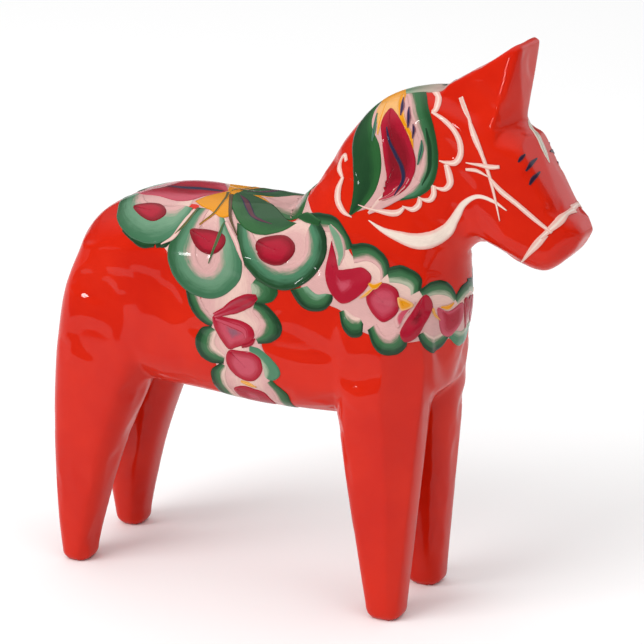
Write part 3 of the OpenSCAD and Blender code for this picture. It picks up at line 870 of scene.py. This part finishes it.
bridle = {"node": "bridle", "slot": "white_paint", "sides": None, "strokes": [
    line(1, [(47.3, -9, 161.5), (49.3, 158), (51.8, 155)], [1.4, 1.5, 0.6], "blush blush white",
         cover=[0.9, 0.8]),
    line(2, [(50.7, 156.3), (53.7, 151), (56, 146.5), (58.3, 141), (60.3, 134.5), (62, 127.5)], [0.5, 1.9,
         1.3, 1.1, 0.8, 0.3], whiteLines, cover=[1, 1, 1, 0.7]),
    line(3, [(58.5, 140), (62, 136.5), (67, 133), (72, 129), (77, 125.3)], [0.6, 1.6, 1.5, 1.4, 0.8],
         whiteLines),
    line(3, [(51, 143.3), (55, 143.2), (58.5, 143), (61.5, 143.3)], [0.3, 0.9, 1.4, 1], whiteLines),
    line(3, [(51, 141.3), (54.5, 141.4), (58.5, 140)], [0.8, 1, 0.3], whiteLines),
]}
noseBand = {"node": "nose_band", "slot": "white_paint", "sides": both, "strokes": [
    line(1, [(66.7, 114.5), (70, 118), (72.8, 121.5), (75.3, 124.7)], [0.2, 1.2, 2.2, 1.8], whiteLines),
    line(2, [(73.8, 123.5), (76.5, -9, 126.3), (79, -7.5, 129), (80.5, -4.5, 130.7), (81.3, 0.6, 131.3)],
         [1.2, 1.8, 2.6, 1.5, 2.3], whiteLines),
]}
foreheadBlaze = {"node": "forehead_blaze", "slot": "white_paint", "sides": (-1,), "strokes": [
    line(1, [(62, 2, 153.5), (66, 1.5, 152.5), (69, 1, 150), (71, 0.3, 147), (72.7, 0, 143.5)], [0.6, 2.4,
         3.2, 2.6, 0.5], "white pale white"),
]}
eyeStrokes = {"node": "eye_strokes", "slot": "dark_blue_paint", "sides": None, "strokes": [
    line(1, [(68.2, 147.2), (67.6, 146.3), (66.9, 145.1)], [0.4, 1.2, 0.5], "dusk dusk plum", cover=[0.7,
         1, 0.7]),
    line(1, [(71, 145.8), (69.9, 144.5), (69, 142.7)], [0.4, 1.3, 0.5], "dusk dusk plum", cover=[0.7, 1,
         0.7]),
    line(1, [(71.9, 142), (71.1, 140.6), (70.3, 138.8)], [0.4, 1.4, 0.6], "dusk dusk plum", cover=[0.7, 1,
         0.7]),
]}


def paint(part):
    words = {None: "", -1: "_right", 1: "_left"}
    for side in (None,) if part["sides"] else (-1, 1):
        node = part["node"] + words[side]
        brush = Brush(node.title().replace("_", ""), node, part["slot"], part["sides"] or (side,))
        for stroke in part["strokes"]:
            brush.stroke(**stroke)
        brush.finish()


for part in (saddleFlower, girthGarland, breastGarland, manePanel, maneScallops, maneSquiggle, cheekSwoosh,
             bridle, noseBand, foreheadBlaze, eyeStrokes):
    paint(part)
print("painted")

studio = {
    "azimuth": 26.37,
    "elevation": 17.82,
    "distance": 0.8,  # m, like all of the studio's sizes
    "target": (-0.0003, 0, 0.08503),
    "lens": 147.2,
    "floorReach": 60,
    "horizon": 0.08,
    "zenith": 1.3,
    "haze": 0.75,  # of the air just over the floor's far edge
    "cardGlow": 1.6,
    # place, height of its aim, size, watts, and whether the lacquer mirrors it
    "lights": {
        "keyLight": ((-0.8, -1.3, 1.1), 0.08, (1.2, 1.2), 19.5, False),
        "fillLight": ((1.5, -0.6, 0.9), 0.08, (1.0, 1.0), 2.5, False),
        "windowLight": ((-0.488, -1.049, 0.155), 0.1, (0.03, 0.1), 0.4, True),
    },
}


def paleFloor():
    m = newMaterial("paleFloor")
    soft = m.mix(m.noise(m.place(), 3, 2), (0.93, 0.93, 0.93, 1), (0.95, 0.95, 0.95, 1))
    return m.finish({"Base Color": soft, "Roughness": 0.7, "Specular IOR Level": 0.0})


def darkCloth():
    m = newMaterial("darkCloth")
    cloth = m.mix(m.noise(m.place(), 3, 2), (0.02, 0.02, 0.02, 1), (0.03, 0.03, 0.03, 1))
    return m.finish({"Base Color": cloth, "Roughness": 0.9})


def litPaper():
    m = newMaterial("litPaper")
    glow = m.mix(m.noise(m.place(), 1, 1), (0.85, 0.92, 1, 1), (0.95, 0.97, 1, 1))
    return m.finish({"Base Color": (0, 0, 0, 1), "Emission Color": glow,
                     "Emission Strength": studio["cardGlow"]})


# Soft dome: its light grows from a dim horizon to a bright zenith with the height of the direction,
# and a thin haze hides the floor's far edge
def softDome():
    m = Maker(bpy.data.worlds.new("studioAir"))
    up = m.node("ShaderNodeSeparateXYZ", {}, {0: m.node("ShaderNodeTexCoord", out="Generated")}, "Z")
    air = m.step(up, 0.15, 0.95, studio["horizon"], studio["zenith"])
    haze = m.step(up, 0.05, 0.02, 0, studio["haze"], "LINEAR")
    return m.finish({"Color": (1, 1, 1, 1), "Strength": air + haze}, "Background", "OutputWorld")


def studioSheet(name, corners, faces, material):
    sheet = meshObject(name, np.array(corners, float), faces, body=None)
    sheet.data.materials.append(material)
    return sheet


scene = bpy.context.scene
scene.view_settings.view_transform = "Standard"
scene.world = softDome()

far = studio["floorReach"]
studioSheet("floor", [[-far, -far, 0], [far, -far, 0], [far, far, 0], [-far, far, 0]], [(0, 1, 2, 3)],
            paleFloor())

for name, (place, aim, size, watts, mirrored) in studio["lights"].items():
    data = bpy.data.lights.new(name, "AREA")
    data.shape = "RECTANGLE"
    data.size, data.size_y = size
    data.energy = watts
    light = bpy.data.objects.new(name, data)
    scene.collection.objects.link(light)
    light.location = place
    light.rotation_euler = (Vector((0, 0, aim)) - Vector(place)).to_track_quat("-Z", "Y").to_euler()
    light.visible_glossy = mirrored

# Two cards show only in the lacquer: a dark one in front, where the floor's image ends, and a pale
# one high behind the horse's head, which its forehead and muzzle mirror
darkCard = studioSheet("studioCard", [[-3, -3, 0.002], [3, -3, 0.002], [3, -0.25, 0.002], [-3, -0.25, 0.002],
                                      [3, -3, 0.4], [-3, -3, 0.4]], [(0, 1, 2, 3), (4, 1, 0, 5)], darkCloth())
paleCard = studioSheet("paleCard", [[0.4, 2.3, 0.15], [2.3, 0.55, 0.15], [2.1, 0.5, 1.7], [0.35, 2.1, 1.7]],
                       [(0, 1, 2, 3)], litPaper())
for card in (darkCard, paleCard):
    card.visible_camera = card.visible_diffuse = card.visible_shadow = card.visible_transmission = False

# The camera looks along the azimuth, turned from the horse's right side, and down by the elevation
turn, tilt = math.radians(studio["azimuth"]), math.radians(studio["elevation"])
back = Vector((math.sin(turn) * math.cos(tilt), -math.cos(turn) * math.cos(tilt), math.sin(tilt)))
cameraData = bpy.data.cameras.new("camera")
cameraData.lens = studio["lens"]
camera = bpy.data.objects.new("camera", cameraData)
scene.collection.objects.link(camera)
camera.location = Vector(studio["target"]) + back * studio["distance"]
camera.rotation_mode = "QUATERNION"
camera.rotation_quaternion = (-back).to_track_quat("-Z", "Y")
scene.camera = camera
print("studio set")
